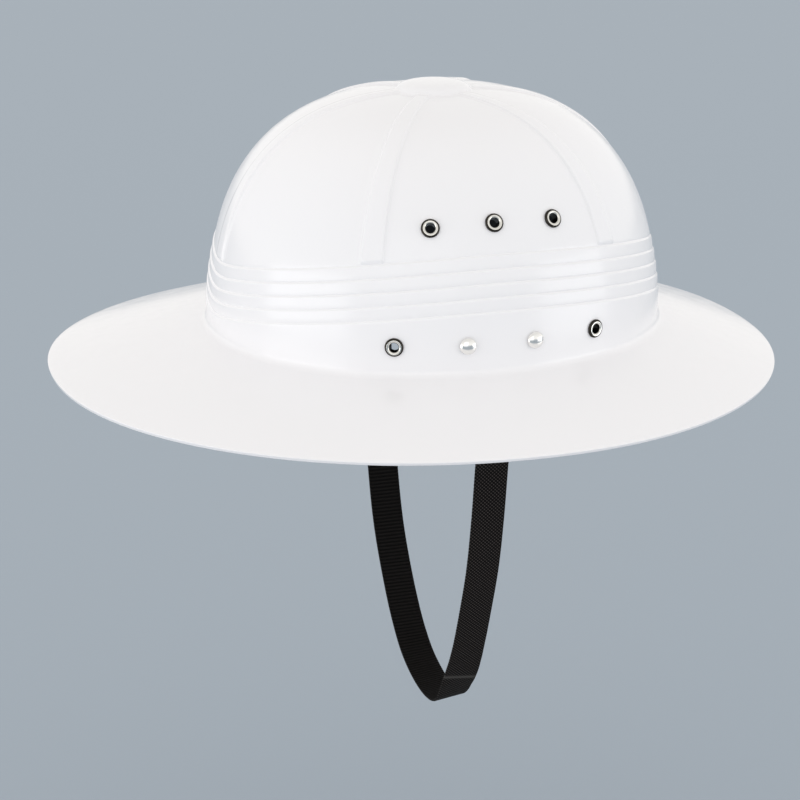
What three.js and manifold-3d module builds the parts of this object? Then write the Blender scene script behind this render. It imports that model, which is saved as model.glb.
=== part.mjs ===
// A hard sun hat in white plastic: a tall ribbed crown with a moulded pleated band, a wide sloping
// brim, vent eyelets, and a webbing chin strap riveted inside the crown.
// Millimetres, +Z up. The front of the hat faces -Y and the wearer's left side is +X. The origin is
// the middle of the crown's mouth, in the plane where crown and brim meet.
import * as THREE from "three";
import { mergeVertices } from "three/addons/utils/BufferGeometryUtils.js";
import Module from "manifold-3d";

const wasm = await Module();
wasm.setup();

// Crown
const CROWN_HALF_LENGTH = 105.6; // to the front and to the back, outside
const CROWN_HALF_WIDTH = 97.5; // to each side, outside
const CROWN_HEIGHT = 108.3; // mouth to top, without the button
const OVAL_POWER = 2.1; // 2 is an ellipse, more is squarer
const SHOULDER_RISE_POWER = 2.5; // how late the wall leans in as it rises
const SHOULDER_TURN_POWER = 2.7; // how tightly it then turns over the top
const WALL = 2;

// Button on top
const BUTTON_RADIUS = 16.7;
const BUTTON_HEIGHT = 3.8;
const BUTTON_SQUARENESS = 4; // 2 is a round dome, more has a flatter top

// Ribs from the button down to the pleats
const RIB_ANGLES = [36, 90, 144, 214.5, 270, 325.5]; // degrees, from the wearer's left to the back
const RIB_HEIGHT = 0.9;
const RIB_TOP_WIDTH = 4.8;
const RIB_FOOT_WIDTH = 9.2;
const RIB_BEVEL = 1.2; // how far each flank of a rib runs out

// Pleated band moulded round the crown, its lines arched over the ears
const PLEATS = 5;
const PLEAT_PITCH = 6.05;
const PLEAT_STEP = 0.55;
const PLEAT_STEP_RUN = 0.6;
const PLEAT_SPREAD = 0.3; // how much further out each pleat starts than the one above it
const LOWEST_PLEAT_SIDE = 28; // height above the mouth at the sides
const LOWEST_PLEAT_END = 10; // and at the front and back
const ARCH_ROUNDING = 0.12; // how softly the arch turns at the front and back, 0 is a corner

// Brim
const BRIM_HALF_WIDTH = 157;
const BRIM_FRONT = 182.6;
const BRIM_BACK = 161.5;
const BRIM_POWER = 2.1;
const BRIM_DROP_SIDE = 19;
const BRIM_DROP_FRONT = 15;
const BRIM_DROP_BACK = 17;
const BRIM_SAG = 0.15; // share of the drop that comes late, towards the edge
const EDGE_THICKNESS = 1.7;
const FILLET_RISE = 3; // where the crown's foot starts to turn out into the brim
const FILLET_RUN = 3.5;

// Fasteners
const GAP = 0.3; // between pieces that touch
const INNER_GAP = 0.6; // inside the wall, which curves towards what lies on it
const UPPER_ROW_HEIGHT = 64.5;
const UPPER_ROW_ARCH = 1; // the middle eyelet of the row sits this much higher
const LOWER_ROW_HEIGHT = 13.8;
const EYELET_RADIUS = 4.2;
const EYELET_HOLE_RADIUS = 2.1;
const EYELET_BARREL_WALL = 0.45;
const EYELET_ROLL = 1.1; // height of the rolled rim
const RIVET_RADIUS = 3.85;
const RIVET_DOME = 2.3;
const RIVET_SHANK_RADIUS = 1.8;
const RIVET_TAIL_RADIUS = 3.3;
const RIVET_TAIL = 1;
const RIVET_CLEAR = 7.5; // from the strap's edge to the middle of the rivet beside it

// Chin strap and the bars that clamp its ends
const STRAP_WIDTH = 16;
const STRAP_THICKNESS = 1.3;
const STRAP_DROP = 190.8; // mouth to the bottom of the loop
const STRAP_END_RISE = 7; // above the rivets
const BAR_THICKNESS = 1.2;
const BAR_DEPTH = 12; // up and down
const BAR_END = 6; // past the middle of each rivet

// The fasteners of each side. Along is a share of the crown's half length, towards the back, and
// arch a share of the row's arch.
const rivetAlong = (STRAP_WIDTH / 2 + RIVET_CLEAR) / CROWN_HALF_LENGTH;
const FASTENERS = [
  { kind: "eyelet", row: "upper", number: 1, along: -0.27, arch: 0 },
  { kind: "eyelet", row: "upper", number: 2, along: 0, arch: 1 },
  { kind: "eyelet", row: "upper", number: 3, along: 0.27, arch: 0 },
  { kind: "eyelet", row: "lower", number: 1, along: -0.441, arch: 0 },
  { kind: "eyelet", row: "lower", number: 2, along: 0.441, arch: 0 },
  { kind: "rivet", row: "lower", number: 1, along: -rivetAlong, arch: 0 },
  { kind: "rivet", row: "lower", number: 2, along: rivetAlong, arch: 0 },
];

// The free stretch of the strap, from the wearer's right to the left. Across is a share of the
// distance from the middle to the strap's seat, fall a share of its drop, and twist is in degrees
// about its length.
const STRAP_ROUTE = [
  { across: -0.99, fall: 0.03, twist: 0 },
  { across: -0.953, fall: 0.203, twist: 0 },
  { across: -0.903, fall: 0.395, twist: 0 },
  { across: -0.829, fall: 0.567, twist: 0 },
  { across: -0.736, fall: 0.694, twist: 0 },
  { across: -0.592, fall: 0.805, twist: 0 },
  { across: -0.415, fall: 0.903, twist: 2 },
  { across: -0.247, fall: 0.962, twist: 6 },
  { across: -0.079, fall: 0.99, twist: 8 },
  { across: 0.099, fall: 1, twist: 9 },
  { across: 0.242, fall: 0.992, twist: 8 },
  { across: 0.331, fall: 0.971, twist: 7 },
  { across: 0.399, fall: 0.933, twist: 0 },
  { across: 0.462, fall: 0.894, twist: -6 },
  { across: 0.51, fall: 0.86, twist: -7 },
  { across: 0.552, fall: 0.825, twist: -4 },
  { across: 0.614, fall: 0.763, twist: -1 },
  { across: 0.691, fall: 0.673, twist: 0 },
  { across: 0.795, fall: 0.535, twist: 0 },
  { across: 0.861, fall: 0.398, twist: 0 },
  { across: 0.908, fall: 0.263, twist: 0 },
  { across: 0.958, fall: 0.122, twist: 0 },
  { across: 0.995, fall: 0.03, twist: 0 },
];

// The rolled rim of an eyelet: out is a share of the way from its hole to its rim, up of its height.
const ROLL_SECTION = [
  { out: 1, up: 0 },
  { out: 1, up: 0.55 },
  { out: 0.55, up: 1 },
  { out: 0, up: 0.35 },
];
const TAIL_RING_SHARE = 0.9; // an eyelet's ring inside, against its rim outside

// A rivet's dome: radii as shares of its own, and the share of its height that is a straight edge.
const DOME_RADII = [1, 0.8, 0.5, 0.2];
const DOME_EDGE = 0.15;

// How finely the faceted solids are cut
const PANEL_SPANS = 8; // between two ribs
const BUTTON_RINGS = [0.35, 0.65, 0.88, 0.98]; // shares of its radius
const CROWN_RINGS = 10;
const FILLET_RINGS = 3;
const BRIM_RINGS = 4;
const UNDERSIDE_RINGS = [0.95, 0.5, 0]; // shares of the brim's width past the fillet
const INNER_RINGS = 10;
const TURNED_SIDES = 12;
const STRAP_STEPS = 50;
const BAR_STEPS = 8;

// Colours
const whitePlastic = new THREE.MeshStandardMaterial({ color: 0xf4f5f6, roughness: 0.2, metalness: 0 });
const nickel = new THREE.MeshStandardMaterial({ color: 0xb9bbbd, roughness: 0.25, metalness: 1 });
const blackWebbing = new THREE.MeshStandardMaterial({ color: 0x17181a, roughness: 0.85, metalness: 0 });
const barPlastic = new THREE.MeshStandardMaterial({ color: 0xe4e5e6, roughness: 0.5, metalness: 0 });

const rad = THREE.MathUtils.degToRad;
const lerp = THREE.MathUtils.lerp;
const count = (n) => Array.from({ length: n }, (_, i) => i);

// Radius of an oval in the direction of an angle, measured from the wearer's left towards the back.
function oval(angle, halfWidth, halfLength, power) {
  const across = Math.abs(Math.cos(angle)) / halfWidth;
  const along = Math.abs(Math.sin(angle)) / halfLength;
  return (across ** power + along ** power) ** (-1 / power);
}

// How much of a form's side value holds at an angle: 1 at the sides and 0 at the front and back.
const sideShare = (angle) => Math.cos(angle) ** 2;
const archShare = (angle) =>
  (Math.hypot(Math.cos(angle), ARCH_ROUNDING) - ARCH_ROUNDING) /
  (Math.hypot(1, ARCH_ROUNDING) - ARCH_ROUNDING);

// The crown's turn is 0 at the mouth and a quarter turn at the top.
const turnAtHeight = (z) => Math.asin((z / CROWN_HEIGHT) ** (SHOULDER_RISE_POWER / 2));
const heightAtTurn = (turn) => CROWN_HEIGHT * Math.sin(turn) ** (2 / SHOULDER_RISE_POWER);
const shareAtTurn = (turn) => Math.cos(turn) ** (2 / SHOULDER_TURN_POWER);
const turnAtShare = (share) => Math.acos(share ** (SHOULDER_TURN_POWER / 2));

// Height of a pleat line, numbered from the top.
function pleatHeight(line, angle) {
  const lowest = lerp(LOWEST_PLEAT_END, LOWEST_PLEAT_SIDE, archShare(angle));
  return lowest + (PLEATS - line) * PLEAT_PITCH;
}

// How far the crown has widened at a height, from its first pleat line down to its last.
const FOOT_SPREAD = PLEAT_SPREAD * (PLEATS - 1);
function spreadAt(angle, z) {
  const down = (pleatHeight(1, angle) - z) / PLEAT_PITCH;
  return PLEAT_SPREAD * THREE.MathUtils.clamp(down, 0, PLEATS - 1);
}

function crownBase(angle, turn) {
  const z = heightAtTurn(turn);
  const bare = shareAtTurn(turn) * oval(angle, CROWN_HALF_WIDTH, CROWN_HALF_LENGTH, OVAL_POWER);
  const r = bare + spreadAt(angle, z);
  return new THREE.Vector3(r * Math.cos(angle), r * Math.sin(angle), z);
}

function brimBase(angle, share) {
  const front = Math.sin(angle) < 0;
  const foot = oval(angle, CROWN_HALF_WIDTH, CROWN_HALF_LENGTH, OVAL_POWER) + FOOT_SPREAD;
  const edge = oval(angle, BRIM_HALF_WIDTH, front ? BRIM_FRONT : BRIM_BACK, BRIM_POWER);
  const drop = lerp(front ? BRIM_DROP_FRONT : BRIM_DROP_BACK, BRIM_DROP_SIDE, sideShare(angle));
  const fall = lerp(share, share * share, BRIM_SAG);
  const r = lerp(foot, edge, share);
  return new THREE.Vector3(r * Math.cos(angle), r * Math.sin(angle), -drop * fall);
}

// Share of the brim's width that the fillet takes.
function filletShare(angle) {
  const inner = brimBase(angle, 0);
  return FILLET_RUN / Math.hypot(brimBase(angle, 1).x - inner.x, brimBase(angle, 1).y - inner.y);
}

function filletBase(angle, share) {
  const top = crownBase(angle, turnAtHeight(FILLET_RISE));
  const corner = brimBase(angle, 0);
  const out = brimBase(angle, filletShare(angle));
  return new THREE.QuadraticBezierCurve3(top, corner, out).getPoint(share);
}

// A point of the shell's outside, moved along the surface's own normal.
function shellPoint(base, angle, at, proud) {
  const step = 1e-3;
  const around = base(angle + step, at).sub(base(angle - step, at));
  const down = base(angle, at + step).sub(base(angle, at - step));
  const normal = around.cross(down).normalize();
  const point = base(angle, at);
  if (normal.dot(new THREE.Vector3(point.x, point.y, CROWN_HALF_WIDTH)) < 0) normal.negate();
  return { point: point.addScaledVector(normal, proud), normal };
}

// How far the band below the pleats stands out at a height.
function bandProud(angle, z) {
  const top = pleatHeight(PLEATS, angle) - PLEAT_STEP_RUN / 2;
  return PLEAT_STEP * THREE.MathUtils.clamp((z - FILLET_RISE) / (top - FILLET_RISE), 0, 1);
}

// Columns of the shell's grid. Each rib takes four, at the feet and the tops of its two flanks, and
// the panel beside it the others. A column's angle depends on how wide the rib is at that height.
const COLUMNS = RIB_ANGLES.length * (PANEL_SPANS + 3);

const meanRadius = Math.sqrt(CROWN_HALF_LENGTH * CROWN_HALF_WIDTH);
const buttonTurn = turnAtShare(BUTTON_RADIUS / meanRadius);
const ribStart = (angle) => turnAtHeight(pleatHeight(1, angle) + PLEAT_STEP_RUN / 2);

// The middle of a rib and the angles that its top and its feet take to each side at a turn. Past the
// last rib comes the first again.
function ribAt(rib, turn) {
  const lap = Math.floor(rib / RIB_ANGLES.length) * 360;
  const middle = rad(RIB_ANGLES[rib % RIB_ANGLES.length] + lap);
  const foot = ribStart(middle);
  const up = THREE.MathUtils.clamp((turn - foot) / (buttonTurn - foot), 0, 1);
  const at = THREE.MathUtils.clamp(turn, foot, buttonTurn);
  const radius = shareAtTurn(at) * oval(middle, CROWN_HALF_WIDTH, CROWN_HALF_LENGTH, OVAL_POWER);
  const halfTop = lerp(RIB_FOOT_WIDTH, RIB_TOP_WIDTH, up) / 2 / radius;
  return { middle, halfTop, halfFoot: halfTop + RIB_BEVEL / radius };
}

function columnAt(column, turn) {
  const perRib = PANEL_SPANS + 3;
  const rib = Math.floor(column / perRib);
  const place = column % perRib;
  const here = ribAt(rib, turn);
  const next = ribAt(rib + 1, turn);
  const panel = count(PANEL_SPANS).map((i) =>
    lerp(here.middle + here.halfFoot, next.middle - next.halfFoot, i / PANEL_SPANS),
  );
  const flanks = [-here.halfFoot, -here.halfTop, here.halfTop].map((half) => here.middle + half);
  return { angle: [...flanks, ...panel][place], onRib: place === 1 || place === 2 };
}

// Rings of the grid, from the top of the button down the outside, round the brim's edge and up the
// inside. Each gives a base surface, where it lies on it, and how far it stands out.
function buttonRing(share) {
  const turn = turnAtShare((share * BUTTON_RADIUS) / meanRadius);
  const rise = BUTTON_HEIGHT * Math.sqrt(1 - share ** BUTTON_SQUARENESS);
  return { base: crownBase, turn: () => turn, proud: () => rise };
}

function crownRing(step) {
  return {
    base: crownBase,
    turn: (angle) => lerp(buttonTurn, ribStart(angle), step),
    proud: (angle, onRib) => (onRib && step < 1 ? RIB_HEIGHT : 0),
  };
}

function pleatRings(line) {
  const at = (side) => (angle) => turnAtHeight(pleatHeight(line, angle) + (side * PLEAT_STEP_RUN) / 2);
  return [
    { base: crownBase, turn: at(1), proud: () => 0 },
    { base: crownBase, turn: at(-1), proud: () => PLEAT_STEP },
  ];
}

const bandTurn = (share) => (angle) =>
  turnAtHeight(lerp(pleatHeight(PLEATS, angle) - PLEAT_STEP_RUN / 2, FILLET_RISE, share));

const brimAt = (share) => (angle) => lerp(filletShare(angle), 1, share);
const ringOn = (base, at, proud) => ({ base, turn: at, proud: () => proud });
const mouthTurn = turnAtHeight(FILLET_RISE);
const innerTurn = (step) => () => lerp(mouthTurn, buttonTurn, step);

const RINGS = [
  ...BUTTON_RINGS.map(buttonRing),
  ...count(CROWN_RINGS).map((i) => crownRing(i / CROWN_RINGS)),
  ...count(PLEATS).flatMap((i) => pleatRings(i + 1)),
  { base: crownBase, turn: bandTurn(0.5), proud: () => PLEAT_STEP / 2 },
  ringOn(crownBase, bandTurn(1), 0),
  ...count(FILLET_RINGS).map((i) => ringOn(filletBase, () => (i + 1) / FILLET_RINGS, 0)),
  ...count(BRIM_RINGS).map((i) => ringOn(brimBase, brimAt((i + 1) / BRIM_RINGS), 0)),
  ringOn(brimBase, brimAt(1), -EDGE_THICKNESS),
  ...UNDERSIDE_RINGS.map((share) => ringOn(brimBase, brimAt(share), -WALL)),
  ringOn(filletBase, () => 0.5, -WALL),
  ...count(INNER_RINGS + 1).map((i) => ringOn(crownBase, innerTurn(i / INNER_RINGS), -WALL)),
];

function shellGeometry() {
  const places = [];
  for (const ring of RINGS) {
    for (const column of count(COLUMNS)) {
      const neutral = ring.base === crownBase ? ring.turn(rad(RIB_ANGLES[0])) : 0;
      const { angle, onRib } = columnAt(column, neutral);
      const made = shellPoint(ring.base, angle, ring.turn(angle), ring.proud(angle, onRib));
      places.push(...made.point.toArray());
    }
  }
  const outerPole = places.length / 3;
  places.push(0, 0, CROWN_HEIGHT + BUTTON_HEIGHT, 0, 0, CROWN_HEIGHT - WALL);
  const innerPole = outerPole + 1;
  const faces = [];
  const at = (ring, column) => ring * COLUMNS + (column % COLUMNS);
  for (const column of count(COLUMNS)) {
    faces.push(outerPole, at(0, column), at(0, column + 1));
    for (const ring of count(RINGS.length - 1)) {
      const [a, b] = [at(ring, column), at(ring, column + 1)];
      const [c, d] = [at(ring + 1, column + 1), at(ring + 1, column)];
      faces.push(a, d, c, a, c, b);
    }
    faces.push(at(RINGS.length - 1, column), innerPole, at(RINGS.length - 1, column + 1));
  }
  const geometry = new THREE.BufferGeometry();
  geometry.setAttribute("position", new THREE.Float32BufferAttribute(places, 3));
  geometry.setIndex(faces);
  return geometry;
}

// A geometry as a solid to cut, and back again.
function solidOf(geometry) {
  const bare = geometry.clone();
  for (const name of ["normal", "uv"]) bare.deleteAttribute(name);
  const merged = mergeVertices(bare, 1e-4);
  return new wasm.Manifold(
    new wasm.Mesh({
      numProp: 3,
      vertProperties: new Float32Array(merged.attributes.position.array),
      triVerts: new Uint32Array(merged.index.array),
    }),
  );
}

function geometryOf(solid) {
  const mesh = solid.getMesh();
  const geometry = new THREE.BufferGeometry();
  geometry.setAttribute("position", new THREE.Float32BufferAttribute(mesh.vertProperties, 3));
  geometry.setIndex(new THREE.Uint32BufferAttribute(mesh.triVerts, 1));
  geometry.computeVertexNormals();
  return geometry;
}

// Where a fastener sits: a point of the bare crown, the rotation that turns +Z out of it, and how far
// the band stands out there.
function seatOf(side, along, height) {
  const share = shareAtTurn(turnAtHeight(height));
  const y = along * CROWN_HALF_LENGTH;
  const rest = 1 - Math.abs(y / (CROWN_HALF_LENGTH * share)) ** OVAL_POWER;
  const x = side * CROWN_HALF_WIDTH * share * rest ** (1 / OVAL_POWER);
  const angle = Math.atan2(y, x);
  const { point, normal } = shellPoint(crownBase, angle, turnAtHeight(height), 0);
  const turned = new THREE.Quaternion().setFromUnitVectors(new THREE.Vector3(0, 0, 1), normal);
  return { point, turned, proud: height < pleatHeight(PLEATS, angle) ? bandProud(angle, height) : 0 };
}

const heightOf = (f) => (f.row === "upper" ? UPPER_ROW_HEIGHT + UPPER_ROW_ARCH * f.arch : LOWER_ROW_HEIGHT);
const seats = ["left", "right"].flatMap((side) =>
  FASTENERS.map((f) => ({
    ...f,
    side,
    ...seatOf(side === "left" ? 1 : -1, f.along, heightOf(f)),
  })),
);

// A hole through whatever lies along a fastener, as wide as its barrel or shank with a gap.
function boreOf(seat, length) {
  const inside = seat.kind === "eyelet" ? EYELET_HOLE_RADIUS + EYELET_BARREL_WALL : RIVET_SHANK_RADIUS;
  const bore = new THREE.CylinderGeometry(inside + GAP, inside + GAP, length, TURNED_SIDES);
  bore.rotateX(Math.PI / 2);
  bore.applyQuaternion(seat.turned);
  bore.translate(...seat.point.toArray());
  return solidOf(bore);
}

function makeShell() {
  let shell = solidOf(shellGeometry());
  for (const seat of seats) shell = shell.subtract(boreOf(seat, 6 * WALL));
  const mesh = new THREE.Mesh(geometryOf(shell), whitePlastic);
  mesh.name = "shell";
  return mesh;
}

// A turned fastener: its profile runs from the axis or bore outside to inside.
function turnedPiece(name, profile, seat, material) {
  const geometry = new THREE.LatheGeometry(
    profile.map(([r, z]) => new THREE.Vector2(r, z)),
    TURNED_SIDES,
  );
  geometry.rotateX(Math.PI / 2);
  const mesh = new THREE.Mesh(geometry, material);
  mesh.name = name;
  mesh.position.copy(seat.point);
  mesh.quaternion.copy(seat.turned);
  return mesh;
}

// An eyelet is a barrel rolled over outside and flattened to a thin ring inside.
function makeEyelet(seat) {
  const bore = EYELET_HOLE_RADIUS;
  const barrel = bore + EYELET_BARREL_WALL;
  const seatZ = seat.proud + GAP;
  const tail = -WALL - INNER_GAP;
  const ring = EYELET_RADIUS * TAIL_RING_SHARE;
  const profile = [
    [bore, tail - EYELET_BARREL_WALL],
    [ring, tail - EYELET_BARREL_WALL],
    [ring, tail],
    [barrel, tail],
    [barrel, seatZ],
    ...ROLL_SECTION.map(({ out, up }) => [lerp(bore, EYELET_RADIUS, out), seatZ + up * EYELET_ROLL]),
    [bore, tail - EYELET_BARREL_WALL],
  ];
  return turnedPiece(`eyelet_${seat.side}_${seat.row}_${seat.number}`, profile, seat, nickel);
}

// How deep the clamping bar lies under the crown's outside: past the wall and the strap, and the
// strap is flat where the wall is curved.
const STRAP_BOW = (STRAP_WIDTH / 2) ** 2 / (2 * (CROWN_HALF_LENGTH ** 2 / CROWN_HALF_WIDTH));
const STRAP_DEPTH = WALL + INNER_GAP + STRAP_BOW + STRAP_THICKNESS / 2;
const BAR_TOP = STRAP_DEPTH + STRAP_THICKNESS / 2 + GAP;

function makeRivet(seat) {
  const seatZ = seat.proud + GAP;
  const tail = -BAR_TOP - BAR_THICKNESS - GAP;
  const domeHeight = (r) => RIVET_DOME * lerp(DOME_EDGE, 1, Math.sqrt(1 - r * r));
  const profile = [
    [0, tail - RIVET_TAIL],
    [RIVET_TAIL_RADIUS, tail - RIVET_TAIL],
    [RIVET_TAIL_RADIUS, tail],
    [RIVET_SHANK_RADIUS, tail],
    [RIVET_SHANK_RADIUS, seatZ],
    [RIVET_RADIUS, seatZ],
    ...DOME_RADII.map((r) => [RIVET_RADIUS * r, seatZ + domeHeight(r)]),
    [0, seatZ + RIVET_DOME],
  ];
  return turnedPiece(`rivet_${seat.side}_${seat.number}`, profile, seat, nickel);
}

// A closed block from a grid of corners: for each step along it, a loop of points round it.
function loopGeometry(loops) {
  const around = loops[0].length;
  const places = loops.flat().flatMap((p) => p.toArray());
  const faces = [];
  for (const i of count(loops.length - 1)) {
    for (const j of count(around)) {
      const [a, b] = [i * around + j, i * around + ((j + 1) % around)];
      faces.push(a, b, b + around, a, b + around, a + around);
    }
  }
  const last = (loops.length - 1) * around;
  for (const j of count(around - 2)) {
    faces.push(0, j + 2, j + 1);
    faces.push(last, last + j + 1, last + j + 2);
  }
  const geometry = new THREE.BufferGeometry();
  geometry.setAttribute("position", new THREE.Float32BufferAttribute(places, 3));
  geometry.setIndex(faces);
  return geometry;
}

// Turns a solid's faces out if its loops ran the other way.
function facingOut(geometry) {
  const solid = solidOf(geometry);
  if (solid.volume() > 0) return solid;
  const index = geometry.index.array;
  for (let i = 0; i < index.length; i += 3) [index[i + 1], index[i + 2]] = [index[i + 2], index[i + 1]];
  return solidOf(geometry);
}

// A bar that follows the wall across both rivets of a side.
function makeBar(side) {
  const sign = side === "left" ? 1 : -1;
  const reach = rivetAlong + BAR_END / CROWN_HALF_LENGTH;
  const corners = [
    [BAR_TOP, -1],
    [BAR_TOP, 1],
    [BAR_TOP + BAR_THICKNESS, 1],
    [BAR_TOP + BAR_THICKNESS, -1],
  ];
  const loops = count(BAR_STEPS + 1).map((i) => {
    const along = lerp(-reach, reach, i / BAR_STEPS);
    return corners.map(([depth, half]) => {
      const seat = seatOf(sign, along, LOWER_ROW_HEIGHT + (half * BAR_DEPTH) / 2);
      const out = new THREE.Vector3(0, 0, 1).applyQuaternion(seat.turned).setZ(0).normalize();
      return seat.point.clone().addScaledVector(out, -depth);
    });
  });
  let bar = facingOut(loopGeometry(loops));
  for (const seat of seats) {
    if (seat.kind === "rivet" && seat.side === side) bar = bar.subtract(boreOf(seat, 6 * BAR_TOP));
  }
  const mesh = new THREE.Mesh(geometryOf(bar), barPlastic);
  mesh.name = `strap_anchor_${side}`;
  return mesh;
}

// The strap's seat is where its middle line runs up inside the wall, which leans in a little.
const strapSeat = (z) => crownBase(0, turnAtHeight(z)).x - STRAP_DEPTH;

function strapRoute() {
  const clamped = [LOWER_ROW_HEIGHT + STRAP_END_RISE, LOWER_ROW_HEIGHT, LOWER_ROW_HEIGHT / 2];
  const end = (sign) => (z) => ({ x: sign * strapSeat(z), z, twist: 0 });
  const free = STRAP_ROUTE.map((row) => ({
    x: row.across * strapSeat(0),
    z: -row.fall * STRAP_DROP,
    twist: row.twist,
  }));
  const rows = [...clamped.map(end(-1)), ...free, ...clamped.map(end(1)).reverse()];
  const route = new THREE.CatmullRomCurve3(rows.map((row) => new THREE.Vector3(row.x, 0, row.z)));
  const twists = new THREE.CatmullRomCurve3(rows.map((row) => new THREE.Vector3(row.twist, 0, 0)));
  return { route, twists };
}

function makeStrap() {
  const { route, twists } = strapRoute();
  const loops = count(STRAP_STEPS + 1).map((i) => {
    const u = i / STRAP_STEPS;
    const middle = route.getPoint(u);
    const along = route.getTangent(u);
    const across = new THREE.Vector3(0, 1, 0).applyAxisAngle(along, rad(twists.getPoint(u).x));
    const face = new THREE.Vector3().crossVectors(across, along);
    const corner = (w, t) =>
      middle
        .clone()
        .addScaledVector(across, (w * STRAP_WIDTH) / 2)
        .addScaledVector(face, (t * STRAP_THICKNESS) / 2);
    return [corner(-1, -1), corner(1, -1), corner(1, 1), corner(-1, 1)];
  });
  const mesh = new THREE.Mesh(geometryOf(facingOut(loopGeometry(loops))), blackWebbing);
  mesh.name = "chin_strap";
  return mesh;
}

const hat = new THREE.Group();
hat.add(makeShell());
for (const seat of seats) hat.add(seat.kind === "eyelet" ? makeEyelet(seat) : makeRivet(seat));
for (const side of ["left", "right"]) hat.add(makeBar(side));
hat.add(makeStrap());

export default hat;
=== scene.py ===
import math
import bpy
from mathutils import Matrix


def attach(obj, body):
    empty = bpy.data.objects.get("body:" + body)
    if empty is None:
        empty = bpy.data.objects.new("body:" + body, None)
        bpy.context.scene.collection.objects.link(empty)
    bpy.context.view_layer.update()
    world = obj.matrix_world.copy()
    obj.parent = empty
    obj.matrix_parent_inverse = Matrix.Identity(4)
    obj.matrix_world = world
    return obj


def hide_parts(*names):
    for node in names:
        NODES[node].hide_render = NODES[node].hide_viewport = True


bl_info = {
    "name": "Sun Hat",
    "version": (1, 0, 0),
    "blender": (4, 5, 0),
    "location": "View3D > Sidebar > Sun Hat",
    "description": "Dresses the solids of a hard sun hat in gloss plastic, nickel and webbing",
    "category": "Add Mesh",
}

import bmesh
import bpy
import numpy as np
from bpy.props import FloatProperty, FloatVectorProperty, IntProperty, PointerProperty
from mathutils import Matrix, Vector

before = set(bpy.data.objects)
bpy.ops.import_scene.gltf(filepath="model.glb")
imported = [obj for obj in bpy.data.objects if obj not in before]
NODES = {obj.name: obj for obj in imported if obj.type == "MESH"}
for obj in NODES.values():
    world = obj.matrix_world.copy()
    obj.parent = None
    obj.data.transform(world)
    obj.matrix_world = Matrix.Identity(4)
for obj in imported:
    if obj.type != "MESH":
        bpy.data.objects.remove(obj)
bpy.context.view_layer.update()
BODY = "root"
MM = 0.001


def linear(hex_colour):
    """An sRGB hex colour as linear red, green, blue and alpha."""
    channels = [int(hex_colour[i : i + 2], 16) / 255 for i in (1, 3, 5)]
    return (*[c / 12.92 if c <= 0.04045 else ((c + 0.055) / 1.055) ** 2.4 for c in channels], 1.0)


def length(name, description, default):
    """A length in metres that a user can set."""
    return FloatProperty(
        name=name, description=description, default=default, min=0, unit="LENGTH", precision=5
    )


def colour(name, description, hex_colour):
    """A surface colour that a user can set."""
    return FloatVectorProperty(
        name=name,
        description=description,
        default=linear(hex_colour),
        size=4,
        subtype="COLOR",
        min=0,
        max=1,
    )


# The shell's form, in metres. The same sizes and formulas shape the solid that it stands for.


class SunHatShell(bpy.types.PropertyGroup):
    """Sizes of the crown and brim"""

    crown_half_length: length("Crown Half Length", "Middle of the crown to its front", 105.6 * MM)
    crown_half_width: length("Crown Half Width", "Middle of the crown to each side", 97.5 * MM)
    crown_height: length("Crown Height", "Mouth to top, without the button", 108.3 * MM)
    wall: length("Wall", "Thickness of the moulding", 2 * MM)
    button_radius: length("Button Radius", "Radius of the low dome on top", 16.7 * MM)
    button_height: length("Button Height", "Height of the low dome on top", 3.8 * MM)
    rib_height: length("Rib Height", "How far a rib stands out", 0.9 * MM)
    rib_top_width: length("Rib Top Width", "Width of a rib at the button", 4.8 * MM)
    rib_foot_width: length("Rib Foot Width", "Width of a rib at the pleats", 9.2 * MM)
    rib_flank: length("Rib Flank", "Run of each sloped flank of a rib", 1.2 * MM)
    pleats: IntProperty(
        name="Pleats", description="Steps in the moulded band", default=5, min=1, max=9
    )
    pleat_pitch: length("Pleat Pitch", "Height from one pleat line to the next", 6.05 * MM)
    pleat_step: length("Pleat Step", "How far each pleat stands out below its line", 0.55 * MM)
    pleat_spread: length("Pleat Spread", "How much further out each pleat starts", 0.3 * MM)
    pleat_softness: length("Pleat Softness", "Height over which a pleat's step runs out", 1.1 * MM)
    pleat_crease: length("Pleat Crease", "Depth of the crease above each pleat", 0.13 * MM)
    lowest_pleat_side: length("Lowest Pleat at Side", "Height of the last line over the ears", 28 * MM)
    lowest_pleat_end: length("Lowest Pleat at End", "Height of the last line at the front", 10 * MM)
    brim_half_width: length("Brim Half Width", "Middle of the crown to the brim's side", 157 * MM)
    brim_front: length("Brim Front", "Middle of the crown to the brim's front", 182.6 * MM)
    brim_back: length("Brim Back", "Middle of the crown to the brim's back", 161.5 * MM)
    brim_drop_side: length("Brim Drop at Side", "How far the brim falls to its side edge", 19 * MM)
    brim_drop_front: length("Brim Drop at Front", "How far the brim falls to its front edge", 15 * MM)
    brim_drop_back: length("Brim Drop at Back", "How far the brim falls to its back edge", 17 * MM)
    edge_thickness: length("Edge Thickness", "Thickness of the brim's edge", 1.7 * MM)
    edge_round: length("Edge Rounding", "Radius on the corners of the brim's edge", 0.35 * MM)
    fillet_rise: length("Fillet Rise", "Height at which the crown's foot turns out", 3 * MM)
    fillet_run: length("Fillet Run", "Width of the turn on the brim", 3.5 * MM)
    colour: colour("Plastic", "Colour of the moulded plastic", "#F5F4F6")
    inside_shade_colour: colour("Inside", "Dark colour painted on the crown's inside as its shade", "#1D1E20")


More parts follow.
